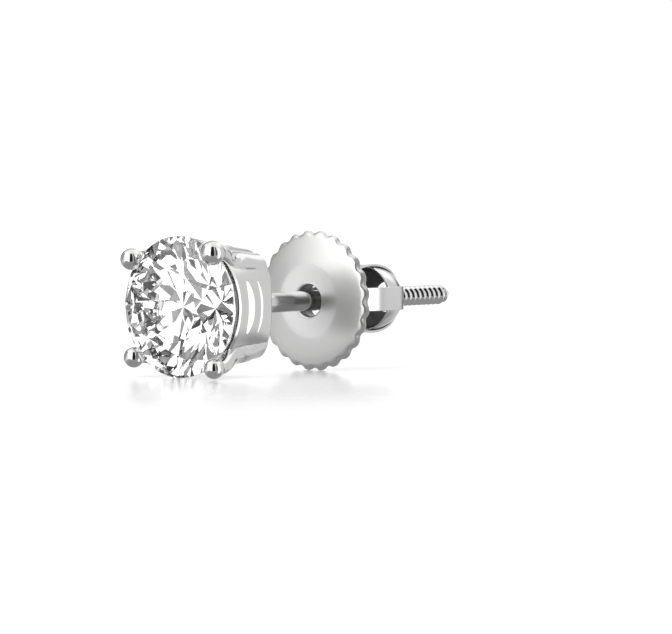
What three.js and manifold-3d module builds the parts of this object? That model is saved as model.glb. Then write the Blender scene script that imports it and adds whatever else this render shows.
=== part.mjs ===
// Solitaire ear stud: a round brilliant in a four-claw basket, with a threaded post and a screw back.
// Millimetres, +Z up. The stud lies on its girdle and on two scallops of its screw back, with the table
// towards -Y and the post along +Y. Along the post, a place is given by its distance behind the girdle.

import * as THREE from 'three';
import { ConvexGeometry } from 'three/addons/geometries/ConvexGeometry.js';
import { mergeVertices } from 'three/addons/utils/BufferGeometryUtils.js';
import Module from 'manifold-3d';

// Stone: a standard round brilliant
const STONE_DIAMETER = 5.2;
const TABLE_SHARE = 0.57;
const STAR_SHARE = 0.5;
const LOWER_HALF_SHARE = 0.77;
const CROWN_ANGLE = 34.5;
const PAVILION_ANGLE = 40.75;
const GIRDLE_THICKNESS = 0.166;
const GIRDLE_SIDES = 64;

// Basket: a tapered cup, round at the girdle and four-cornered at the back
const SEAT_GAP = 0.04;
const RIM_BEHIND_GIRDLE = 0.35;
const RIM_RADIUS = 2.52;
const BACK_BEHIND_GIRDLE = 2.8;
const BACK_RADIUS = 2.12;
const BACK_ROUNDING = 0.22;
const FLOOR_THICKNESS = 0.35;
const CAVITY_FLOOR_RADIUS = 1.6;
const CAVITY_SHOULDER = { fromAxis: 1.95, behindGirdle: 0.8 };
const SEAT_EDGE_RADIUS = 2.36;
const RIM_SQUARENESS = 2;
const BACK_SQUARENESS = 3.1;

// Two scooped grooves across each side of the basket
const GROOVES = [
  { behindGirdle: 1.25, halfLength: 1.1, halfWidth: 0.25, depth: 0.2 },
  { behindGirdle: 1.97, halfLength: 1.05, halfWidth: 0.1, depth: 0.18 },
];

// Claws: four bars on the basket's corners, each with a bead over the crown. They were bent over the stone
// by hand, so each leans a few degrees to one side and has its own reach from the axis.
const CLAW_RADIUS = 0.36;
const CLAW_BAR = [
  { fromAxis: 2, behindGirdle: 2.68 },
  { fromAxis: 2.28, behindGirdle: 1.75 },
  { fromAxis: 2.45, behindGirdle: 0.8 },
];
const BEAD_BEHIND_GIRDLE = -0.45;
const CLAWS = [
  { corner: 45, lean: -1.5, reach: 2.8, beadRadius: 0.46 },
  { corner: 135, lean: 2.8, reach: 2.96, beadRadius: 0.38 },
  { corner: 225, lean: -0.5, reach: 2.64, beadRadius: 0.38 },
  { corner: 315, lean: -4, reach: 2.62, beadRadius: 0.4 },
];

// Post and its screw thread
const POST_RADIUS = 0.375;
const POST_END = 15.4;
const THREAD_START = 8.9;
const THREAD_PITCH = 0.28;
const THREAD_CREST_RADIUS = 0.37;
const THREAD_DEPTH = 0.1;
const THREAD_SIDES = 10;
const STEPS_PER_TURN = 4;
const THREAD_END_TAPER = 0.7;
const POST_CHAMFER = 0.1;
const SOLDER_FILLET = 0.16;

// Screw back: a domed disc with a scalloped rim, and a cage of four straps that ends in a threaded nose
const DISC_FRONT = 7.35;
const DISC_HOLE_RADIUS = 0.6;
const DISC_FLAT_RADIUS = 1.4;
const DISC_DEPTH = 0.36;
const DISC_THICKNESS = 0.28;
const DISC_BEND_STEPS = 5;
const HOLE_CHAMFER = 0.06;
const RIM_THICKNESS = 0.18;
const SCALLOPED_FROM = 0.8;
const SCALLOPS = 24;
const SCALLOP_DEPTH = 0.1;
const CAGE_WALL = 0.26;
const STRAP_WIDTH = 0.88;
const WINDOW_START = 8.3;
const WINDOW_END = 10.65;
const NOSE_END = 12.05;
const NOSE_CLEARANCE = 0.04;
const CAGE_OUTLINE = [
  { fromAxis: 0.86, behindGirdle: 7.45 },
  { fromAxis: 0.9, behindGirdle: 8.3 },
  { fromAxis: 1.08, behindGirdle: 9.3 },
  { fromAxis: 1.27, behindGirdle: 10.3 },
  { fromAxis: 1.25, behindGirdle: 11.05 },
  { fromAxis: 1.05, behindGirdle: 11.65 },
  { fromAxis: 0.68, behindGirdle: NOSE_END },
];

// Worked out from the sizes above
const stoneRadius = STONE_DIAMETER / 2;
const stoneTurn = 180 / GIRDLE_SIDES;
const axisHeight = stoneRadius * Math.cos(Math.PI / GIRDLE_SIDES);
const discRadius = axisHeight / Math.cos(Math.PI / SCALLOPS);
const frontEnd = BEAD_BEHIND_GIRDLE - Math.max(...CLAWS.map((claw) => claw.beadRadius));
const middle = (frontEnd + POST_END) / 2;

const radians = THREE.MathUtils.degToRad;
const { lerp, smoothstep } = THREE.MathUtils;
const wasm = await Module();
wasm.setup();

// A point at an angle round the post's axis, counted from the top towards +X.
function around(angle, fromAxis, behindGirdle) {
  const turn = radians(angle);
  return new THREE.Vector3(fromAxis * Math.sin(turn), behindGirdle, fromAxis * Math.cos(turn));
}

function toSolid(geometry) {
  const bare = geometry.clone();
  bare.deleteAttribute('normal');
  bare.deleteAttribute('uv');
  const merged = mergeVertices(bare, 1e-5);
  const index = merged.index.array;
  const triVerts = [];
  for (let i = 0; i < index.length; i += 3) {
    const [a, b, c] = index.slice(i, i + 3);
    if (a !== b && b !== c && c !== a) triVerts.push(a, b, c);
  }
  return new wasm.Manifold(new wasm.Mesh({
    numProp: 3,
    vertProperties: merged.attributes.position.array,
    triVerts: new Uint32Array(triVerts),
  }));
}

function toGeometry(solid) {
  const { vertProperties, triVerts } = solid.getMesh();
  const indexed = new THREE.BufferGeometry();
  indexed.setAttribute('position', new THREE.BufferAttribute(vertProperties, 3));
  indexed.setIndex(new THREE.BufferAttribute(triVerts, 1));
  const faceted = indexed.toNonIndexed();
  faceted.computeVertexNormals();
  return faceted;
}

// A turned form on the post's axis. The outline is pairs of distance from the axis and behind the girdle.
function turned(outline, sides) {
  const points = outline.map(([fromAxis, behindGirdle]) => new THREE.Vector2(fromAxis, behindGirdle));
  return new THREE.LatheGeometry(points, sides);
}

// Moves every point of a form to a new distance from the post's axis.
function reshape(geometry, newDistance) {
  const position = geometry.attributes.position;
  for (let i = 0; i < position.count; i += 1) {
    const x = position.getX(i);
    const z = position.getZ(i);
    const fromAxis = Math.hypot(x, z);
    if (fromAxis < 1e-6) continue;
    const scale = newDistance(fromAxis, Math.atan2(x, z), position.getY(i)) / fromAxis;
    position.setX(i, x * scale);
    position.setZ(i, z * scale);
  }
  return geometry;
}

// The hull of a round brilliant's corners. Each facet is flat because its corners lie on one plane.
function brilliant() {
  const half = GIRDLE_THICKNESS / 2;
  const crownSlope = Math.tan(radians(CROWN_ANGLE));
  const pavilionSlope = Math.tan(radians(PAVILION_ANGLE));
  const cosMain = Math.cos(radians(22.5));
  const cosHalf = Math.cos(radians(11.25));
  const tableRadius = TABLE_SHARE * stoneRadius;
  const tableHeight = half + (stoneRadius - tableRadius) * crownSlope;
  const starRadius = lerp(tableRadius * cosMain, stoneRadius, STAR_SHARE);
  const starHeight = half + (stoneRadius - starRadius * cosMain) * crownSlope;
  const upperSlope = (starHeight - half) / ((stoneRadius - starRadius) * cosHalf);
  const lowerRadius = (1 - LOWER_HALF_SHARE) * stoneRadius;
  const lowerDepth = half + (stoneRadius - lowerRadius * cosMain) * pavilionSlope;
  const lowerSlope = (lowerDepth - half) / ((stoneRadius - lowerRadius) * cosHalf);
  const corners = [around(0, 0, half + stoneRadius * pavilionSlope)];
  for (let k = 0; k < 8; k += 1) {
    const main = stoneTurn + 45 * k;
    corners.push(around(main, tableRadius, -tableHeight));
    corners.push(around(main + 22.5, starRadius, -starHeight));
    corners.push(around(main + 22.5, lowerRadius, lowerDepth));
  }
  for (let j = 0; j < GIRDLE_SIDES; j += 1) {
    const angle = (360 / GIRDLE_SIDES) * j;
    const dip = (Math.cos(radians((angle % 22.5) - 11.25)) - cosHalf) * stoneRadius;
    corners.push(around(stoneTurn + angle, stoneRadius, dip * upperSlope - half));
    corners.push(around(stoneTurn + angle, stoneRadius, half - dip * lowerSlope));
  }
  return new ConvexGeometry(corners);
}

// How far down the basket's side a place is, from 0 at the rim to 1 at the back.
function downBasket(behindGirdle) {
  return (behindGirdle - RIM_BEHIND_GIRDLE) / (BACK_BEHIND_GIRDLE - RIM_BEHIND_GIRDLE);
}

// A cup whose section stays nearly round behind the rim and turns into a rounded square at the back.
function basket() {
  const floor = BACK_BEHIND_GIRDLE - FLOOR_THICKNESS;
  const corner = BACK_BEHIND_GIRDLE - BACK_ROUNDING;
  const outline = [
    [0, floor],
    [CAVITY_FLOOR_RADIUS, floor],
    [CAVITY_SHOULDER.fromAxis, CAVITY_SHOULDER.behindGirdle],
    [SEAT_EDGE_RADIUS, RIM_BEHIND_GIRDLE],
    [RIM_RADIUS, RIM_BEHIND_GIRDLE],
    [lerp(RIM_RADIUS, BACK_RADIUS, 0.5), lerp(RIM_BEHIND_GIRDLE, corner, 0.5)],
    [BACK_RADIUS, corner],
    [BACK_RADIUS - 0.3 * BACK_ROUNDING, BACK_BEHIND_GIRDLE - 0.3 * BACK_ROUNDING],
    [BACK_RADIUS - BACK_ROUNDING, BACK_BEHIND_GIRDLE],
    [0, BACK_BEHIND_GIRDLE],
  ];
  const cup = reshape(turned(outline, 48), (fromAxis, angle, behindGirdle) => {
    const power = lerp(RIM_SQUARENESS, BACK_SQUARENESS, downBasket(behindGirdle) ** 3);
    const square = Math.abs(Math.cos(angle)) ** power + Math.abs(Math.sin(angle)) ** power;
    return fromAxis * square ** (-1 / power);
  });
  let solid = toSolid(cup);
  for (const groove of GROOVES) {
    for (const side of [0, 90, 180, 270]) solid = solid.subtract(scoop(groove, side));
  }
  return solid;
}

// A long flat ellipsoid lying on one side of the basket.
function scoop({ behindGirdle, halfLength, halfWidth, depth }, side) {
  const fromAxis = lerp(RIM_RADIUS, BACK_RADIUS, downBasket(behindGirdle));
  const form = new THREE.SphereGeometry(1, 16, 8);
  form.scale(halfLength, halfWidth, depth);
  form.translate(0, behindGirdle, fromAxis);
  form.rotateY(radians(side));
  return toSolid(form);
}

// One claw: a round bar up a corner of the basket, with a bead at its tip.
function claw({ corner, lean, reach, beadRadius }) {
  const places = [
    ...CLAW_BAR,
    { fromAxis: reach - 0.08, behindGirdle: 0.05 },
    { fromAxis: reach, behindGirdle: BEAD_BEHIND_GIRDLE },
  ];
  const path = places.map(({ fromAxis, behindGirdle }, step) => {
    const angle = corner + (lean * step) / (places.length - 1);
    return around(angle, fromAxis, behindGirdle);
  });
  const section = new THREE.Shape().absarc(0, 0, CLAW_RADIUS, 0, 2 * Math.PI);
  const bar = new THREE.ExtrudeGeometry(section, {
    steps: 7,
    curveSegments: 6,
    bevelEnabled: false,
    extrudePath: new THREE.CatmullRomCurve3(path),
  });
  const bead = new THREE.SphereGeometry(beadRadius, 14, 10);
  bead.translate(...path.at(-1));
  return toSolid(bar).add(toSolid(bead));
}

// The plain post with its fillet at the basket, then the threaded end.
function post() {
  const plain = turned([
    [0, BACK_BEHIND_GIRDLE - 0.5 * FLOOR_THICKNESS],
    [POST_RADIUS + SOLDER_FILLET, BACK_BEHIND_GIRDLE - 0.5 * FLOOR_THICKNESS],
    [POST_RADIUS + SOLDER_FILLET, BACK_BEHIND_GIRDLE],
    [POST_RADIUS + 0.3 * SOLDER_FILLET, BACK_BEHIND_GIRDLE + 0.3 * SOLDER_FILLET],
    [POST_RADIUS, BACK_BEHIND_GIRDLE + SOLDER_FILLET],
    [POST_RADIUS, THREAD_START],
    [POST_RADIUS - POST_CHAMFER, THREAD_START + POST_CHAMFER],
    [0, THREAD_START + POST_CHAMFER],
  ], 24);
  return toSolid(plain).add(toSolid(thread()));
}

// A rod whose surface rises and falls along a helix, faded in at its start and rounded at its end.
function thread() {
  const length = POST_END - THREAD_START;
  const steps = Math.round((STEPS_PER_TURN * length) / THREAD_PITCH);
  const rootRadius = THREAD_CREST_RADIUS - THREAD_DEPTH;
  const rod = new THREE.CylinderGeometry(rootRadius, rootRadius, length, THREAD_SIDES, steps);
  rod.translate(0, THREAD_START + length / 2, 0);
  return reshape(rod, (fromAxis, angle, behindGirdle) => {
    const turn = (2 * Math.PI * behindGirdle) / THREAD_PITCH - angle;
    const rise = 0.5 + 0.5 * Math.cos(turn);
    const fade = smoothstep(behindGirdle, THREAD_START, THREAD_START + THREAD_PITCH);
    const toEnd = smoothstep(POST_END - behindGirdle, 0, 1.5 * THREAD_PITCH);
    return (rootRadius + THREAD_DEPTH * rise * fade) * lerp(THREAD_END_TAPER, 1, toEnd);
  });
}

function setting() {
  const seat = brilliant();
  const growth = (stoneRadius + SEAT_GAP) / stoneRadius;
  seat.scale(growth, growth, growth);
  let solid = basket().add(post());
  for (const shape of CLAWS) solid = solid.add(claw(shape));
  return solid.subtract(toSolid(seat));
}

// A pressed disc: flat round its hole, then bending back along a quarter ellipse to a scalloped rim.
function disc() {
  const bend = discRadius - DISC_FLAT_RADIUS;
  const front = [];
  const back = [];
  for (let step = 0; step <= DISC_BEND_STEPS; step += 1) {
    const turn = (0.5 * Math.PI * step) / DISC_BEND_STEPS;
    const out = Math.sin(turn);
    const down = 1 - Math.cos(turn);
    front.push([DISC_FLAT_RADIUS + bend * out, DISC_FRONT + DISC_DEPTH * down]);
    back.unshift([
      DISC_FLAT_RADIUS + (bend - RIM_THICKNESS) * out,
      DISC_FRONT + DISC_THICKNESS + (DISC_DEPTH - DISC_THICKNESS) * down,
    ]);
  }
  const hole = [DISC_HOLE_RADIUS, DISC_FRONT + HOLE_CHAMFER];
  const outline = [
    hole,
    [DISC_HOLE_RADIUS + HOLE_CHAMFER, DISC_FRONT],
    ...front,
    ...back,
    [DISC_HOLE_RADIUS, DISC_FRONT + DISC_THICKNESS],
    hole,
  ];
  return reshape(turned(outline, 4 * SCALLOPS), (fromAxis, angle) => {
    const share = smoothstep(fromAxis, SCALLOPED_FROM * discRadius, discRadius);
    const valley = 0.5 + 0.5 * Math.cos(SCALLOPS * angle);
    return fromAxis - SCALLOP_DEPTH * share * valley;
  });
}

// A bulb-shaped shell, cut away between four straps so that only they join the disc to the nose.
function cage() {
  const boreRadius = THREAD_CREST_RADIUS + NOSE_CLEARANCE;
  const outside = new THREE.SplineCurve(
    CAGE_OUTLINE.map((at) => new THREE.Vector2(at.fromAxis, at.behindGirdle)),
  ).getPoints(10);
  const inside = outside.map(
    ({ x, y }) => [Math.max(x - CAGE_WALL, boreRadius), Math.min(y, NOSE_END)],
  ).reverse();
  const outline = [...outside.map(({ x, y }) => [x, y]), ...inside];
  outline.push(outline[0]);
  const shell = toSolid(turned(outline, 32));
  const windowLength = WINDOW_END - WINDOW_START;
  const reach = 2 * discRadius;
  let gaps = toSolid(new THREE.CylinderGeometry(discRadius, discRadius, windowLength, 8));
  gaps = gaps.subtract(toSolid(new THREE.BoxGeometry(reach, reach, STRAP_WIDTH)));
  gaps = gaps.subtract(toSolid(new THREE.BoxGeometry(STRAP_WIDTH, reach, reach)));
  return shell.subtract(gaps.translate(0, WINDOW_START + windowLength / 2, 0));
}

const whiteGold = new THREE.MeshStandardMaterial({ color: 0xdcdcda, roughness: 0.12, metalness: 1 });
const clearStone = new THREE.MeshStandardMaterial({ color: 0xf4f6f8, roughness: 0.02, metalness: 0 });

function piece(name, geometry, material) {
  const mesh = new THREE.Mesh(geometry, material);
  mesh.name = name;
  return mesh;
}

const stud = new THREE.Group();
stud.position.set(0, -middle, axisHeight);
stud.add(
  piece('stone', toGeometry(toSolid(brilliant())), clearStone),
  piece('setting', toGeometry(setting()), whiteGold),
  piece('screw_back', toGeometry(toSolid(disc()).add(cage())), whiteGold),
);

export default stud;
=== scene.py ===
"""Looks of a solitaire ear stud: a brilliant in a clawed basket, a threaded post and a screw back."""
import math

import bpy
import numpy as np
from mathutils import Matrix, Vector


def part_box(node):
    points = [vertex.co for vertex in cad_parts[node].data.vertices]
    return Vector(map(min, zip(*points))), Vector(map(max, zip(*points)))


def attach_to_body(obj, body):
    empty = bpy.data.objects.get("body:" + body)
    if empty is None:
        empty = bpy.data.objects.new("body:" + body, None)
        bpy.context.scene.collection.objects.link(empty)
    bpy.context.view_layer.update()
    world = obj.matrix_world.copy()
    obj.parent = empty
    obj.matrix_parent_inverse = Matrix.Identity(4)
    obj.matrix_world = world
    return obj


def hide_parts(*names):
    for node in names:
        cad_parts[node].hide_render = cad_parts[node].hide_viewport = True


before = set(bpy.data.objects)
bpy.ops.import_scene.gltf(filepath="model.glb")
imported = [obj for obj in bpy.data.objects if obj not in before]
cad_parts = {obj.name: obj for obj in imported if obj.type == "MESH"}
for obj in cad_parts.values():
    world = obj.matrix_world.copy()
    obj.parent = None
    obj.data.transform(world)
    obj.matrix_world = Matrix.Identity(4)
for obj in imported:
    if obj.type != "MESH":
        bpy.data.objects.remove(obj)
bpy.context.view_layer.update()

# Sizes in millimetres. A place along the post is its distance behind the stone's girdle.
MM = 0.001
STONE_RADIUS = 2.6
STONE_INDEX = 2.417
SEAT_GAP = 0.025

RIM_BEHIND = 0.42
RIM_RADIUS = 2.52
RIM_BEVEL = 0.09
RIM_BEVEL_DEPTH = 0.032
BACK_BEHIND = 2.8
BACK_RADIUS = 2.12
BACK_ROUNDING = 0.26
WALL_BULGE = 0.02
RIM_SQUARENESS = 2.0
BACK_SQUARENESS = 3.1
RIDGE_BLEND = 0.45
RIDGE_COVER = 0.012
RIDGE_RISE = (0.45, 1.5)
RIDGE_SINK = (2.6, 2.8)
CAVITY = ((1.6, 2.45), (1.95, 0.8), (2.36, 0.45))
GROOVES = (
    {"behind": 1.24, "half_length": 0.98, "half_width": 0.22, "depth": 0.165, "arch": 0.08},
    {"behind": 1.96, "half_length": 0.95, "half_width": 0.08, "depth": 0.06, "arch": 0.12},
)

CLAW_RADIUS = 0.36
CLAW_BAR = ((2.0, 2.68), (2.28, 1.75), (2.45, 0.8))
BEAD_BEHIND = -0.45
BEAD_NECK = math.radians(42)
CLAWS = (
    {"corner": 45, "lean": -1.5, "reach": 2.8, "bead": 0.46, "sink": 0.13},
    {"corner": 135, "lean": 2.8, "reach": 2.96, "bead": 0.38, "sink": 0.0},
    {"corner": 225, "lean": -0.5, "reach": 2.64, "bead": 0.38, "sink": 0.0},
    {"corner": 315, "lean": -4.0, "reach": 2.62, "bead": 0.4, "sink": 0.0},
)

POST_RADIUS = 0.375
POST_END = 15.4
SOLDER_FILLET = 0.16
THREAD_START = 8.9
THREAD_PITCH = 0.28
THREAD_CREST = 0.37
THREAD_DEPTH = 0.1

DISC_FRONT = 7.35
DISC_HOLE = 0.6
HOLE_EDGE = 0.06
DISC_FLAT = 1.25
DISC_RADIUS = 2.613
DISC_DEPTH = 0.38
DISC_FALL = ((0, 0), (0.12, 0.03), (0.4, 0.2), (0.7, 0.42), (0.9, 0.64), (1, 1))
DISC_THICKNESS = 0.28
RIM_THICKNESS = 0.18
SCALLOPS = 24
SCALLOP_DEPTH = 0.1
SCALLOPED_FROM = 0.9

CAGE_OUTLINE = (
    (0.86, 7.45), (0.9, 8.3), (1.08, 9.3), (1.27, 10.3), (1.25, 11.05), (1.05, 11.65), (0.68, 12.05),
)
CAGE_WALL = 0.15
STRAP_ANGLES = (0, 90, 180, 270)
STRAP_WIDTH = 0.88
STRAP_THICKNESS = 0.1
STRAP_PROUD = 0.05
FOOT_END = 8.3
NOSE_START = 10.65
NOSE_END = 12.0
NOSE_BORE = 0.41

# Where the photograph's frame holds the stone, in its pixels
IMAGE_SIZE = (672, 634)
STONE_PIXEL = (180.3, 307.0)
PIXELS_PER_MM = 27.3
VIEW_AZIMUTH = 39.5
VIEW_ELEVATION = 2.4
VIEW_DISTANCE = 0.4

# Soft panels and dark flags round the stud, each over the ones before it: azimuth and elevation of its
# middle, half its width and height, the width of its soft edge, all in degrees, and its brightness
PANEL_INPUTS = ("Middle", "Height", "Half Width", "Half Height", "Soft", "Brightness")
STUDIO_PANELS = (
    (0, 70, 180, 40, 12, 1.25),
    (0, -65, 180, 40, 30, 0.4),
    (-35, 46, 38, 25, 14, 1.75),
    (180, 42, 45, 20, 16, 1.5),
    (228, 32, 24, 14, 16, 0.45),
    (252, 8, 14, 22, 8, 0.15),
    (190, 2, 9, 14, 8, 0.3),
    (219.5, 6, 13, 12, 4, 1.15),
    (150, 0, 22, 36, 14, 0.9),
    (154, -36, 20, 12, 14, 0.42),
    (106.5, -2, 12.5, 38, 6, 2.2),
    (-42, 0, 16, 20, 10, 1.12),
    (-5, 10, 26, 30, 8, 2.4),
    (-14, -22, 16, 9, 8, 0.4),
    (-70, 18, 17, 22, 12, 0.45),
    (75, 20, 8, 40, 6, 0.1),
    (39.5, 20, 18, 45, 6, 0.02),
)
STUDIO_FILL = 0.8
BACKGROUND = 1.1

# The stone throws back patches of the room: how many there are, and the brightness of the dark, grey and
# white ones with the share of the room at which each begins
ROOM_PATCHES = 3.2
ROOM_TONES = ((0.0, 0.03), (0.27, 0.3), (0.47, 1.6))

# The floor in metres: half its side, and how far from its middle its gloss begins and ends to fade
FLOOR_HALF = 0.05
GLOSSY_TO = 0.1 * FLOOR_HALF
MATT_FROM = 0.95 * FLOOR_HALF

SHARP_ANGLE = math.radians(38)

stone_low, stone_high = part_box("stone")
AXIS_Z = (stone_low[2] + stone_high[2]) / 2
GIRDLE_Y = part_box("setting")[1][1] - POST_END * MM


def smooth_step(x, low, high):
    """0 below low, 1 above high, and the cubic 3t^2 - 2t^3 of the share t between them."""
    t = np.clip((x - low) / (high - low), 0.0, 1.0)
    return t * t * (3 - 2 * t)


def full_turn(count):
    """Evenly spaced angles round a whole turn, as a row."""
    return np.arange(count)[None, :] * (2 * math.pi / count)


def round_the_axis(angle, from_axis, behind):
    """Points at an angle round the post's axis, counted from the top towards +X, in row-frame metres."""
    angle, from_axis, behind = np.broadcast_arrays(angle, from_axis, behind)
    x = from_axis * np.sin(angle)
    z = from_axis * np.cos(angle)
    return np.stack((x * MM, GIRDLE_Y + behind * MM, AXIS_Z + z * MM), axis=-1)


def beside_bearing(angle, from_axis, sideways, behind):
    """Points given by their distance along a bearing from the axis, across it and behind the girdle."""
    turn = np.radians(angle)
    x = from_axis * np.sin(turn) + sideways * np.cos(turn)
    z = from_axis * np.cos(turn) - sideways * np.sin(turn)
    return np.stack((x * MM, GIRDLE_Y + behind * MM, AXIS_Z + z * MM), axis=-1)


def smooth_curve(points, count):
    """Catmull-Rom curve: between two points a cubic whose slope at each is half the step across it."""
    points = np.asarray(points, float)
    ends = np.vstack((2 * points[0] - points[1], points, 2 * points[-1] - points[-2]))
    t = np.linspace(0, len(points) - 1, count)
    i = np.minimum(t.astype(int), len(points) - 2)
    f = (t - i)[:, None]
    a, b, c, d = (ends[i + k] for k in range(4))
    return 0.5 * (2 * b + (c - a) * f + (2 * a - 5 * b + 4 * c - d) * f**2 + (3 * b - a - 3 * c + d) * f**3)


def along(path):
    """Unit steps along a path of points."""
    step = np.gradient(path, axis=0)
    return step / np.linalg.norm(step, axis=1, keepdims=True)


def rounded(corners, steps=7):
    """Closed outline of straight runs. A corner (x, y, cut) is a parabola that begins a cut away from it."""
    table = np.asarray(corners, float)
    at, cut = table[:, :2], table[:, 2:]
    before = np.roll(at, 1, axis=0) - at
    after = np.roll(at, -1, axis=0) - at
    first = at + before / np.linalg.norm(before, axis=1, keepdims=True) * cut
    last = at + after / np.linalg.norm(after, axis=1, keepdims=True) * cut
    t = np.linspace(0, 1, steps)[None, :, None]
    arcs = (1 - t) ** 2 * first[:, None] + 2 * t * (1 - t) * at[:, None] + t**2 * last[:, None]
    return arcs.reshape(-1, 2)


def lip(start, end, bulge):
    """Half an ellipse from one point to another, its ends left out, that bulges to one side of the way."""
    middle, half = (start + end) / 2, (start - end) / 2
    side = np.array((-half[1], half[0])) / np.linalg.norm(half) * bulge
    t = np.linspace(0, math.pi, 11)[1:-1, None]
    return middle + half * np.cos(t) + side * np.sin(t)


def surface(name, grid, material, closed_rows=False, inside=0.0):
    """Mesh of a grid of points, rows by columns, whose columns close into rings.

    Rows close too where closed_rows is set, and otherwise a fan to its middle fills the first and the last
    ring. The winding is turned round where the enclosed volume comes out negative. The points keep a share
    of how far inside the piece they are, from 0 on its polished outside to 1 in its hollows and on its hidden
    sides, which are rougher and take a dark grey of painted shade.
    """
    rows, columns = grid.shape[:2]
    points = grid.reshape(-1, 3)
    shares = np.broadcast_to(inside, (rows, columns)).ravel()
    row = np.arange(rows if closed_rows else rows - 1)[:, None]
    column = np.arange(columns)[None, :]
    here, there = row * columns, (row + 1) % rows * columns
    beside = (column + 1) % columns
    quads = np.stack((here + column, here + beside, there + beside, there + column), axis=-1).reshape(-1, 4)
    triangles = np.empty((0, 3), int)
    if not closed_rows:
        middles = np.stack((grid[0].mean(axis=0), grid[-1].mean(axis=0)))
        first, last = len(points), len(points) + 1
        points = np.vstack((points, middles))
        shares = np.append(shares, (shares[0], shares[-1]))
        column, beside = column[0], beside[0]
        end = (rows - 1) * columns
        front = np.stack((beside, column, np.full(columns, first)), axis=-1)
        back = np.stack((end + column, end + beside, np.full(columns, last)), axis=-1)
        triangles = np.vstack((front, back))
    split = np.vstack((quads[:, [0, 1, 2]], quads[:, [0, 2, 3]], triangles))
    a, b, c = (points[split[:, k]] - points.mean(axis=0) for k in range(3))
    if np.einsum("ij,ij->", a, np.cross(b, c)) < 0:
        quads, triangles = quads[:, ::-1], triangles[:, ::-1]
    mesh = bpy.data.meshes.new(name)
    mesh.from_pydata(points.tolist(), [], quads.tolist() + triangles.tolist())
    mesh.shade_smooth()
    mesh.set_sharp_from_angle(angle=SHARP_ANGLE)
    mesh.attributes.new("inside", "FLOAT", "POINT").data.foreach_set("value", shares.astype(np.float32))
    mesh.materials.append(material)
    piece = bpy.data.objects.new(name, mesh)
    bpy.context.scene.collection.objects.link(piece)
    return piece


def down_basket(behind):
    """How far down the basket's side a place is, from 0 at the rim to 1 at the back."""
    return np.clip((behind - RIM_BEHIND) / (BACK_BEHIND - RIM_BEHIND), 0, 1)


def basket_side(behind):
    """Distance of the side's middle from the axis: a straight taper with a slight swell."""
    share = down_basket(behind)
    return RIM_RADIUS + (BACK_RADIUS - RIM_RADIUS) * share + WALL_BULGE * np.sin(math.pi * share)


def squared(angle, behind):
    """How much further out the basket is at an angle than at a side's middle: a superellipse."""
    power = RIM_SQUARENESS + (BACK_SQUARENESS - RIM_SQUARENESS) * down_basket(behind) ** 3
    return (np.abs(np.cos(angle)) ** power + np.abs(np.sin(angle)) ** power) ** (-1 / power)


def claw_path(reach, sink):
    """Places along a claw from its foot to the middle of its bead, from the axis and behind the girdle."""
    bar = np.array(CLAW_BAR) - np.outer((0, 0.6, 1), (sink, 0))
    return smooth_curve((*bar, (reach - 0.08, 0.05), (reach, BEAD_BEHIND)), 80)


def with_ridges(angle, from_axis, behind):
    """The basket's side with a ridge over each claw's bar: a smooth maximum of the two distances.

    At an angle d from a bar of radius p at a distance c, the bar's outside is at
    c cos d + root(p^2 - c^2 sin^2 d). The ridge rises behind the rim and sinks by half towards the back.
    """
    ridged = from_axis
    for claw in CLAWS:
        path = claw_path(claw["reach"], claw["sink"])[::-1]
        centre = np.interp(behind, path[:, 1], path[:, 0])
        share = np.interp(behind, path[:, 1], np.linspace(1, 0, len(path)))
        away = angle - np.radians(claw["corner"] + claw["lean"] * share)
        within = (CLAW_RADIUS + RIDGE_COVER) ** 2 - (centre * np.sin(away)) ** 2
        bar = centre * np.cos(away) + np.where(within > 0, 1, -2) * np.sqrt(np.abs(within))
        bar = np.where(np.cos(away) > 0, bar, 0)
        weight = np.clip(0.5 + 0.5 * (bar - ridged) / RIDGE_BLEND, 0, 1)
        ridged = ridged + (bar - ridged) * weight + RIDGE_BLEND * weight * (1 - weight)
    fade = smooth_step(behind, *RIDGE_RISE) * (1 - 0.5 * smooth_step(behind, *RIDGE_SINK))
    return from_axis + (ridged - from_axis) * fade


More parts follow.
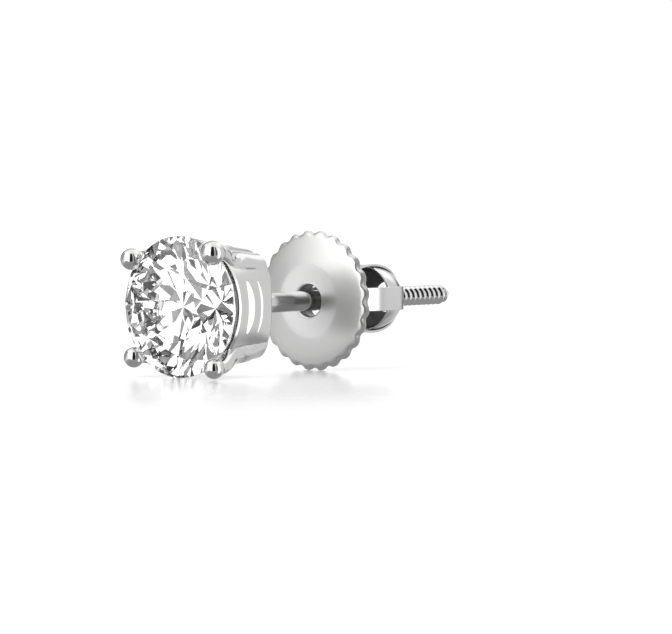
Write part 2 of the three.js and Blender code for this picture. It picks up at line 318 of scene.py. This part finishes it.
def basket_grid(columns=480):
    """The cup's rows run from the middle of its inner floor, over the rim, down the side and across the back.

    On the side they follow the edges of the two grooves. A groove is a lens: its half width and its depth
    shrink along its length as the root of 1 - t^2, and across its width it drops at once and rises evenly.
    """
    angle = full_turn(columns)
    from_middle = (angle + math.pi / 4) % (math.pi / 2) - math.pi / 4
    rows = []

    def add_row(from_axis, behind, ridged=False):
        from_axis = from_axis * squared(angle, behind)
        if ridged:
            from_axis = with_ridges(angle, from_axis, behind)
        rows.append(round_the_axis(angle, from_axis, behind)[0])

    for from_axis, behind in ((0.02, CAVITY[0][1]), *CAVITY):
        add_row(from_axis, behind)
    below_bevel = RIM_BEHIND + RIM_BEVEL
    add_row(basket_side(below_bevel) - 1.5 * RIM_BEVEL_DEPTH, RIM_BEHIND)
    for t in (0.03, 0.1, 0.9, 1.0):
        add_row(basket_side(below_bevel) - RIM_BEVEL_DEPTH * (1 - t), RIM_BEHIND + RIM_BEVEL * t)
    corner = BACK_BEHIND - BACK_ROUNDING
    edges = [np.full_like(angle, below_bevel)]
    lenses = []
    for groove in GROOVES:
        share = from_middle * basket_side(groove["behind"]) / groove["half_length"]
        narrowing = np.sqrt(np.clip(1 - share**2, 0.0, 1))
        half = np.maximum(groove["half_width"] * narrowing, 0.002)
        middle = groove["behind"] - groove["arch"] * np.minimum(share**2, 1)
        edges += [middle - half, middle + half]
        lenses.append((groove["depth"] * narrowing, middle, half))
    edges.append(np.full_like(angle, corner))
    for k, count in enumerate((10, 16, 10, 10, 12)):
        for t in np.arange(1, count + 1) / count:
            behind = edges[k] + (edges[k + 1] - edges[k]) * t
            from_axis = basket_side(behind)
            if k % 2:
                depth, middle, half = lenses[k // 2]
                across = np.clip((behind - middle) / half, -1, 1)
                from_axis = from_axis - depth * np.minimum((1 + across) / 0.25, (1 - across) / 1.75)
            add_row(from_axis, behind, ridged=True)
    for t in np.linspace(0, math.pi / 2, 9)[1:]:
        from_axis = basket_side(corner) - BACK_ROUNDING * (1 - math.cos(t))
        add_row(from_axis, corner + BACK_ROUNDING * math.sin(t), ridged=True)
    for from_axis in (1.2, 0.6, 0.02):
        add_row(from_axis, BACK_BEHIND)
    return np.stack(rows)


def stone_planes():
    """Outward normals and distances of the stone's facets, read from its solid."""
    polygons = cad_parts["stone"].data.polygons
    normals = np.empty(3 * len(polygons))
    centres = np.empty(3 * len(polygons))
    polygons.foreach_get("normal", normals)
    polygons.foreach_get("center", centres)
    normals, centres = normals.reshape(-1, 3), centres.reshape(-1, 3)
    return normals, np.einsum("ij,ij->i", normals, centres)


def pressed_against_stone(points):
    """Points in the stone, or closer to it than the seat's gap, moved straight out of the nearest facet."""
    normals, distances = stone_planes()
    outside = points @ normals.T - distances
    nearest = outside.argmax(axis=-1)
    depth = np.take_along_axis(outside, nearest[..., None], axis=-1)
    push = np.maximum(SEAT_GAP * MM - depth, 0.0)
    return points + normals[nearest] * push


def claw_grid(corner, lean, reach, bead, sink, columns=48):
    """A round section carried along the claw's path: a bar that narrows to a neck, then a ball."""
    path = claw_path(reach, sink)
    step = along(path)
    tip, tip_step = path[-1], step[-1:]
    to_tip = np.linalg.norm(path - tip, axis=1, keepdims=True)
    share = np.linspace(0, 1, len(path))[:, None]
    bar = to_tip[:, 0] > bead * math.sin(BEAD_NECK)
    ball = np.linspace(-BEAD_NECK, math.radians(86), 36)[:, None]
    whole = np.ones_like(ball)
    neck = bead * math.cos(BEAD_NECK)
    radius = neck + (CLAW_RADIUS - neck) * smooth_step(to_tip, 0.3, 0.9)
    radius = np.vstack((radius[bar], bead * np.cos(ball)))
    path = np.vstack((path[bar], tip + tip_step * bead * np.sin(ball)))
    step = np.vstack((step[bar], whole * tip_step))
    angle = corner + lean * np.vstack((share[bar], whole))
    turn = full_turn(columns)
    outward = radius * np.cos(turn)
    sideways = radius * np.sin(turn)
    from_axis = path[:, :1] + outward * step[:, 1:]
    behind = path[:, 1:] - outward * step[:, :1]
    return beside_bearing(angle, from_axis, sideways, behind)


def post_grid(columns=56):
    """A turned rod whose fillet is a quarter circle and whose end rises and falls along a helix."""
    fillet = np.linspace(0, math.pi / 2, 8)
    root = POST_RADIUS + SOLDER_FILLET * (1 - np.sin(fillet))
    lead = BACK_BEHIND + SOLDER_FILLET * (1 - np.cos(fillet))
    plain = np.linspace(BACK_BEHIND + SOLDER_FILLET, THREAD_START, 12)[1:]
    turns = (POST_END - THREAD_START) / THREAD_PITCH
    threaded = np.linspace(THREAD_START, POST_END, int(turns * 14))[1:]
    behind = np.concatenate(([BACK_BEHIND - 0.1], lead, plain, threaded))[:, None]
    base = np.concatenate(([root[0]], root, np.full(len(plain) + len(threaded), POST_RADIUS)))[:, None]
    angle = full_turn(columns)
    wave = 0.5 + 0.5 * np.cos(2 * math.pi * behind / THREAD_PITCH - angle)
    thread = THREAD_CREST - THREAD_DEPTH + THREAD_DEPTH * wave
    share = smooth_step(behind, THREAD_START, THREAD_START + THREAD_PITCH)
    to_end = smooth_step(POST_END - behind, 0, 1.5 * THREAD_PITCH)
    from_axis = (base + (thread - base) * share) * (0.6 + 0.4 * np.sqrt(to_end))
    return round_the_axis(angle, from_axis, behind)


def disc_grid(columns=SCALLOPS * 24):
    """A pressed disc: flat round its hole, then a shallow cone that turns back to a rim with rounded lobes.

    Its front is a smooth curve through shares of the way out to the rim and of the depth there. Gives the
    share inside too, which is 1 on the hole's wall, so that the wall is darkened with painted shade.
    """
    out, fall = smooth_curve(DISC_FALL, 44).T
    bend = DISC_RADIUS - DISC_FLAT
    front = np.stack((DISC_FLAT + bend * out, DISC_FRONT + DISC_DEPTH * fall), axis=-1)
    back_radius = DISC_FLAT + (bend - RIM_THICKNESS) * out
    back_behind = DISC_FRONT + DISC_THICKNESS + (DISC_DEPTH - DISC_THICKNESS) * fall
    back = np.stack((back_radius, back_behind), axis=-1)
    hole_front = np.array((DISC_HOLE, DISC_FRONT + HOLE_EDGE))
    hole_back = np.array((DISC_HOLE, DISC_FRONT + DISC_THICKNESS))
    face_edge = np.array((DISC_HOLE + HOLE_EDGE, DISC_FRONT))
    face = np.linspace(face_edge, front[0], 10)[:-1]
    flare = lip(hole_front, face_edge, 0.3 * HOLE_EDGE)
    rim = lip(front[-1], back[-1], RIM_THICKNESS / 2)
    outline = np.vstack((hole_front, flare, face, front, rim, back[::-1], hole_back))
    from_axis, behind = outline[:, :1], outline[:, 1:]
    angle = full_turn(columns)
    share = smooth_step(from_axis, SCALLOPED_FROM * DISC_RADIUS, DISC_RADIUS)
    valley = (0.5 + 0.5 * np.cos(SCALLOPS * angle)) ** 1.5
    return round_the_axis(angle, from_axis - SCALLOP_DEPTH * share * valley, behind), from_axis <= DISC_HOLE


def strap_grid(angle):
    """A rounded flat section carried along the bulb's outline, from foot to nose, and its inner side, which
    is darkened with painted shade.
    """
    outline = smooth_curve(CAGE_OUTLINE, 140)
    path = outline[outline[:, 1] > FOOT_END - 0.3][:-2]
    step = along(path)
    half, cut = STRAP_WIDTH / 2, 0.03
    section = rounded((
        (half, -STRAP_THICKNESS, cut), (half, 0.0, cut), (-half, 0.0, cut), (-half, -STRAP_THICKNESS, cut),
    ))
    sideways, outward = section[None, :, 0], section[None, :, 1]
    from_axis = path[:, :1] + outward * step[:, 1:]
    behind = path[:, 1:] - outward * step[:, :1]
    grid = beside_bearing(angle, from_axis, np.broadcast_to(sideways, from_axis.shape), behind)
    return grid, outward < -0.75 * STRAP_THICKNESS


def cage_shell(first, last, columns=144):
    """A turned shell just inside the bulb's outline, between two places along it, and its inner side, which
    is darkened with painted shade.
    """
    outline = smooth_curve(CAGE_OUTLINE, 140)
    outline = outline[(outline[:, 1] > first) & (outline[:, 1] < last)]
    outer = outline - (STRAP_PROUD, 0)
    inner = np.stack((np.maximum(outline[:, 0] - CAGE_WALL, NOSE_BORE), outline[:, 1]), axis=-1)[::-1]
    end, start = lip(outer[-1], inner[0], 0.05), lip(inner[-1], outer[0], 0.05)
    profile = np.vstack((outer, end, inner, start))
    row = np.arange(len(profile))[:, None] - len(outer) - len(end)
    grid = round_the_axis(full_turn(columns), profile[:, :1], profile[:, 1:])
    return grid, (row >= 0) & (row < len(inner))


def new_material(name):
    """An empty node material and its Principled shader."""
    material = bpy.data.materials.new(name)
    material.use_nodes = True
    nodes, links = material.node_tree.nodes, material.node_tree.links
    nodes.clear()
    output = nodes.new("ShaderNodeOutputMaterial")
    shader = nodes.new("ShaderNodeBsdfPrincipled")
    links.new(shader.outputs["BSDF"], output.inputs["Surface"])
    return material, nodes, links, shader


def calculate(tree, operation, *values):
    """The result of a math node whose inputs are plain numbers or the outputs of other nodes."""
    node = tree.nodes.new("ShaderNodeMath")
    node.operation = operation
    for socket, value in zip(node.inputs, values):
        if isinstance(value, (int, float)):
            socket.default_value = value
        else:
            tree.links.new(value, socket)
    return node.outputs["Value"]


def buff_and_shade_group():
    """Slow waves left by the buff and a fine haze, and a rough skin darkened with painted shade in the
    hollows and on hidden sides.

    Outputs a tint, a roughness and a height over the surface.
    """
    group = bpy.data.node_groups.new("buff_and_painted_shade", "ShaderNodeTree")
    sockets = group.interface
    for name in ("Wave Size", "Gloss", "Haze"):
        sockets.new_socket(name, in_out="INPUT", socket_type="NodeSocketFloat")
    for name in ("Bright", "Dull", "Raw"):
        sockets.new_socket(name, in_out="INPUT", socket_type="NodeSocketColor")
    sockets.new_socket("Colour", in_out="OUTPUT", socket_type="NodeSocketColor")
    for name in ("Roughness", "Height"):
        sockets.new_socket(name, in_out="OUTPUT", socket_type="NodeSocketFloat")
    nodes, links = group.nodes, group.links
    given = nodes.new("NodeGroupInput")
    result = nodes.new("NodeGroupOutput")
    place = nodes.new("ShaderNodeTexCoord")
    waves = nodes.new("ShaderNodeTexNoise")
    waves.inputs["Detail"].default_value = 1.0
    fine = nodes.new("ShaderNodeTexNoise")
    fine.inputs["Scale"].default_value = 9000.0
    fine.inputs["Detail"].default_value = 3.0
    links.new(place.outputs["Object"], waves.inputs["Vector"])
    links.new(place.outputs["Object"], fine.inputs["Vector"])
    links.new(given.outputs["Wave Size"], waves.inputs["Scale"])
    haze, gloss = given.outputs["Haze"], given.outputs["Gloss"]
    rough = calculate(group, "MULTIPLY_ADD", fine.outputs["Fac"], haze, gloss)
    tint = nodes.new("ShaderNodeMix")
    tint.data_type = "RGBA"
    links.new(waves.outputs["Fac"], tint.inputs["Factor"])
    links.new(given.outputs["Bright"], tint.inputs["A"])
    links.new(given.outputs["Dull"], tint.inputs["B"])
    # The inside share swaps the buffed tint for painted shade: a dark grey in the hollows and on hidden
    # sides.
    inside = nodes.new("ShaderNodeAttribute")
    inside.attribute_name = "inside"
    skin = nodes.new("ShaderNodeMix")
    skin.data_type = "RGBA"
    links.new(inside.outputs["Fac"], skin.inputs["Factor"])
    links.new(tint.outputs["Result"], skin.inputs["A"])
    links.new(given.outputs["Raw"], skin.inputs["B"])
    links.new(skin.outputs["Result"], result.inputs["Colour"])
    links.new(calculate(group, "MULTIPLY_ADD", inside.outputs["Fac"], 0.3, rough), result.inputs["Roughness"])
    links.new(waves.outputs["Fac"], result.inputs["Height"])
    return group


def white_gold(name, buff_and_shade, wave_size, gloss, haze, relief):
    """White gold with its own waviness, gloss and haze."""
    material, nodes, links, shader = new_material(name)
    finish = nodes.new("ShaderNodeGroup")
    finish.node_tree = buff_and_shade
    finish.inputs["Wave Size"].default_value = wave_size
    finish.inputs["Gloss"].default_value = gloss
    finish.inputs["Haze"].default_value = haze
    finish.inputs["Bright"].default_value = (0.66, 0.66, 0.655, 1)
    finish.inputs["Dull"].default_value = (0.61, 0.61, 0.61, 1)
    # Painted shade: the dark grey given to hollows and inner sides.
    finish.inputs["Raw"].default_value = (0.33, 0.33, 0.33, 1)
    bump = nodes.new("ShaderNodeBump")
    bump.inputs["Strength"].default_value = 1.0
    bump.inputs["Distance"].default_value = relief * MM
    shader.inputs["Metallic"].default_value = 1.0
    links.new(finish.outputs["Colour"], shader.inputs["Base Color"])
    links.new(finish.outputs["Roughness"], shader.inputs["Roughness"])
    links.new(finish.outputs["Height"], bump.inputs["Height"])
    links.new(bump.outputs["Normal"], shader.inputs["Normal"])
    return material


def clear_stone():
    """Colourless brilliant: mirror-flat facets, and a ground girdle found by its distance from the axis."""
    material, nodes, links, shader = new_material("clear_brilliant")
    shader.inputs["Base Color"].default_value = (1, 1, 1, 1)
    shader.inputs["Transmission Weight"].default_value = 1.0
    shader.inputs["IOR"].default_value = STONE_INDEX
    shader.inputs["Specular Tint"].default_value = (0.5, 0.5, 0.5, 1)
    place = nodes.new("ShaderNodeTexCoord")
    centred = nodes.new("ShaderNodeVectorMath")
    centred.operation = "SUBTRACT"
    centred.inputs[1].default_value = (0, 0, AXIS_Z)
    across = nodes.new("ShaderNodeVectorMath")
    across.operation = "MULTIPLY"
    across.inputs[1].default_value = (1, 0, 1)
    distance = nodes.new("ShaderNodeVectorMath")
    distance.operation = "LENGTH"
    ground = nodes.new("ShaderNodeMapRange")
    ground.inputs["From Min"].default_value = (STONE_RADIUS - 0.012) * MM
    ground.inputs["From Max"].default_value = (STONE_RADIUS - 0.006) * MM
    ground.inputs["To Min"].default_value = 0.0
    ground.inputs["To Max"].default_value = 0.25
    links.new(place.outputs["Object"], centred.inputs[0])
    links.new(centred.outputs["Vector"], across.inputs[0])
    links.new(across.outputs["Vector"], distance.inputs[0])
    links.new(distance.outputs["Value"], ground.inputs["Value"])
    links.new(ground.outputs["Result"], shader.inputs["Roughness"])
    return material


def add_floor():
    """A pale square, glossy near the stud and matt further off, which the stud itself does not mirror."""
    material, nodes, links, shader = new_material("pale_floor")
    shader.inputs["Base Color"].default_value = (0.93, 0.93, 0.93, 1)
    place = nodes.new("ShaderNodeTexCoord")
    distance = nodes.new("ShaderNodeVectorMath")
    distance.operation = "LENGTH"
    links.new(place.outputs["Object"], distance.inputs[0])
    for name, near, far in (("Roughness", 0.17, 0.5), ("Specular IOR Level", 0.5, 0.0)):
        fade = nodes.new("ShaderNodeMapRange")
        fade.interpolation_type = "SMOOTHSTEP"
        fade.inputs["From Min"].default_value = GLOSSY_TO
        fade.inputs["From Max"].default_value = MATT_FROM
        fade.inputs["To Min"].default_value = near
        fade.inputs["To Max"].default_value = far
        links.new(distance.outputs["Value"], fade.inputs["Value"])
        links.new(fade.outputs["Result"], shader.inputs[name])
    half = FLOOR_HALF
    mesh = bpy.data.meshes.new("floor")
    corners = [(-half, -half, 0), (half, -half, 0), (half, half, 0), (-half, half, 0)]
    mesh.from_pydata(corners, [], [(0, 1, 2, 3)])
    mesh.materials.append(material)
    floor = bpy.data.objects.new("floor", mesh)
    floor.visible_glossy = False
    floor.visible_transmission = False
    bpy.context.scene.collection.objects.link(floor)


def studio_panel_group():
    """One soft-edged panel: the level it gives where a direction falls on it, else the level from before."""
    group = bpy.data.node_groups.new("studio_panel", "ShaderNodeTree")
    for name in ("Azimuth", "Elevation", "Level", *PANEL_INPUTS):
        group.interface.new_socket(name, in_out="INPUT", socket_type="NodeSocketFloat")
    group.interface.new_socket("Level", in_out="OUTPUT", socket_type="NodeSocketFloat")
    given = group.nodes.new("NodeGroupInput")
    result = group.nodes.new("NodeGroupOutput")
    soft = given.outputs["Soft"]

    def inside(offset, half):
        """Share that rises from 0 to 1 across the soft edge."""
        share = group.nodes.new("ShaderNodeMapRange")
        share.interpolation_type = "SMOOTHSTEP"
        edge = calculate(group, "SUBTRACT", given.outputs[half], calculate(group, "ABSOLUTE", offset))
        group.links.new(edge, share.inputs["Value"])
        group.links.new(calculate(group, "MULTIPLY", soft, -0.5), share.inputs["From Min"])
        group.links.new(calculate(group, "MULTIPLY", soft, 0.5), share.inputs["From Max"])
        return share.outputs["Result"]

    across = calculate(group, "SUBTRACT", given.outputs["Azimuth"], given.outputs["Middle"])
    across = calculate(group, "WRAP", across, 180.0, -180.0)
    above = calculate(group, "SUBTRACT", given.outputs["Elevation"], given.outputs["Height"])
    mix = group.nodes.new("ShaderNodeMix")
    on_panel = calculate(group, "MULTIPLY", inside(across, "Half Width"), inside(above, "Half Height"))
    group.links.new(on_panel, mix.inputs["Factor"])
    group.links.new(given.outputs["Level"], mix.inputs["A"])
    group.links.new(given.outputs["Brightness"], mix.inputs["B"])
    group.links.new(mix.outputs["Result"], result.inputs["Level"])
    return group


def add_studio():
    """Light from all round: an even fill with soft-edged panels and flags.

    The camera sees plain white behind the stud, and the stone gathers its light from patches of three tones.
    """
    world = bpy.data.worlds.new("studio")
    bpy.context.scene.world = world
    world.use_nodes = True
    tree = world.node_tree
    nodes, links = tree.nodes, tree.links
    nodes.clear()
    place = nodes.new("ShaderNodeTexCoord")
    parts = nodes.new("ShaderNodeSeparateXYZ")
    links.new(place.outputs["Generated"], parts.inputs["Vector"])
    forwards = calculate(tree, "MULTIPLY", parts.outputs["Y"], -1.0)
    azimuth = calculate(tree, "DEGREES", calculate(tree, "ARCTAN2", parts.outputs["X"], forwards))
    elevation = calculate(tree, "DEGREES", calculate(tree, "ARCSINE", parts.outputs["Z"]))
    panel_group = studio_panel_group()
    level = None
    for panel in STUDIO_PANELS:
        node = nodes.new("ShaderNodeGroup")
        node.node_tree = panel_group
        links.new(azimuth, node.inputs["Azimuth"])
        links.new(elevation, node.inputs["Elevation"])
        for name, value in zip(PANEL_INPUTS, panel):
            node.inputs[name].default_value = value
        node.inputs["Level"].default_value = STUDIO_FILL
        if level is not None:
            links.new(level, node.inputs["Level"])
        level = node.outputs["Level"]
    studio = nodes.new("ShaderNodeBackground")
    backdrop = nodes.new("ShaderNodeBackground")
    for light in (studio, backdrop):
        light.inputs["Color"].default_value = (1, 1, 1, 1)
    path = nodes.new("ShaderNodeLightPath")
    patches = nodes.new("ShaderNodeTexVoronoi")
    patches.inputs["Scale"].default_value = ROOM_PATCHES
    tones = nodes.new("ShaderNodeValToRGB")
    ramp = tones.color_ramp
    ramp.interpolation = "CONSTANT"
    for number, (share, tone) in enumerate(ROOM_TONES):
        stop = ramp.elements[number] if number < 2 else ramp.elements.new(share)
        stop.position = share
        stop.color = (tone, tone, tone, 1)
    through_stone = nodes.new("ShaderNodeMix")
    links.new(place.outputs["Generated"], patches.inputs["Vector"])
    links.new(patches.outputs["Color"], tones.inputs["Fac"])
    links.new(path.outputs["Is Transmission Ray"], through_stone.inputs["Factor"])
    links.new(level, through_stone.inputs["A"])
    links.new(tones.outputs["Color"], through_stone.inputs["B"])
    links.new(through_stone.outputs["Result"], studio.inputs["Strength"])
    backdrop.inputs["Strength"].default_value = BACKGROUND
    choose = nodes.new("ShaderNodeMixShader")
    output = nodes.new("ShaderNodeOutputWorld")
    links.new(path.outputs["Is Camera Ray"], choose.inputs["Fac"])
    links.new(studio.outputs["Background"], choose.inputs[1])
    links.new(backdrop.outputs["Background"], choose.inputs[2])
    links.new(choose.outputs["Shader"], output.inputs["Surface"])


def bearing(azimuth, elevation):
    """Unit vector towards an azimuth, counted from -Y towards +X, and an elevation, both in degrees."""
    a, e = math.radians(azimuth), math.radians(elevation)
    return np.array((math.sin(a) * math.cos(e), -math.cos(a) * math.cos(e), math.sin(e)))


def add_camera():
    """A long lens, placed so that the stone falls on its pixel at the photograph's scale."""
    scene = bpy.context.scene
    camera = bpy.data.objects.new("camera", bpy.data.cameras.new("camera"))
    scene.collection.objects.link(camera)
    scene.camera = camera
    back = bearing(VIEW_AZIMUTH, VIEW_ELEVATION)
    right = bearing(VIEW_AZIMUTH + 90, 0)
    up = np.cross(back, right)
    to_right = (IMAGE_SIZE[0] / 2 - STONE_PIXEL[0]) / PIXELS_PER_MM * MM
    to_top = (STONE_PIXEL[1] - IMAGE_SIZE[1] / 2) / PIXELS_PER_MM * MM
    aim = np.array((0, GIRDLE_Y, AXIS_Z)) + right * to_right + up * to_top
    turned = np.eye(4)
    turned[:3] = np.stack((right, up, back, aim + back * VIEW_DISTANCE), axis=-1)
    camera.matrix_world = Matrix(turned.tolist())
    lens = camera.data
    lens.sensor_width = 36.0
    lens.lens = lens.sensor_width * VIEW_DISTANCE / (IMAGE_SIZE[0] / PIXELS_PER_MM * MM)
    lens.clip_start = 0.01
    lens.clip_end = 10.0


def set_picture():
    """Plain tones, and enough bounces for light to cross the stone many times."""
    scene = bpy.context.scene
    scene.view_settings.view_transform = "Standard"
    scene.cycles.max_bounces = 32
    scene.cycles.transmission_bounces = 32
    scene.cycles.glossy_bounces = 12
    scene.cycles.caustics_refractive = True
    scene.cycles.blur_glossy = 0.0
    scene.cycles.use_denoising = True


def attach(piece, body, node):
    """The piece rides on its body and stands for its solid."""
    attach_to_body(piece, body)
    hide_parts(node)


def add_setting(cast_gold, bright_gold):
    """The basket, its four claws and the threaded post."""
    cup = basket_grid()
    # The cavity round the stone's seat is darkened with painted shade.
    in_cavity = np.arange(len(cup))[:, None] <= len(CAVITY)
    pieces = [surface("basket", cup, cast_gold, inside=in_cavity)]
    for number, claw in enumerate(CLAWS, 1):
        pieces.append(surface(f"claw_{number}", pressed_against_stone(claw_grid(**claw)), bright_gold))
    pieces.append(surface("post", post_grid(), bright_gold))
    for piece in pieces:
        attach(piece, "stud", "setting")


def add_screw_back(pressed_gold, bright_gold):
    """The scalloped disc, and the bulb of four straps between its foot and its nose."""
    rings = {
        "nut_disc": (disc_grid(), pressed_gold),
        "nut_foot": (cage_shell(CAGE_OUTLINE[0][1], FOOT_END), bright_gold),
        "nut_nose": (cage_shell(NOSE_START, NOSE_END), bright_gold),
    }
    pieces = []
    for name, ((grid, inside), gold) in rings.items():
        pieces.append(surface(name, grid, gold, closed_rows=True, inside=inside))
    for number, angle in enumerate(STRAP_ANGLES, 1):
        grid, inside = strap_grid(angle)
        pieces.append(surface(f"nut_strap_{number}", grid, bright_gold, inside=inside))
    for piece in pieces:
        attach(piece, "nut", "screw_back")


buff_and_shade = buff_and_shade_group()
bright_gold = white_gold("bright_white_gold", buff_and_shade, 900.0, 0.07, 0.05, 0.004)
add_setting(white_gold("cast_white_gold", buff_and_shade, 700.0, 0.12, 0.06, 0.006), bright_gold)
add_screw_back(white_gold("pressed_white_gold", buff_and_shade, 600.0, 0.3, 0.08, 0.008), bright_gold)
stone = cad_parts["stone"].data
stone.materials.clear()
stone.materials.append(clear_stone())
add_floor()
add_studio()
add_camera()
set_picture()
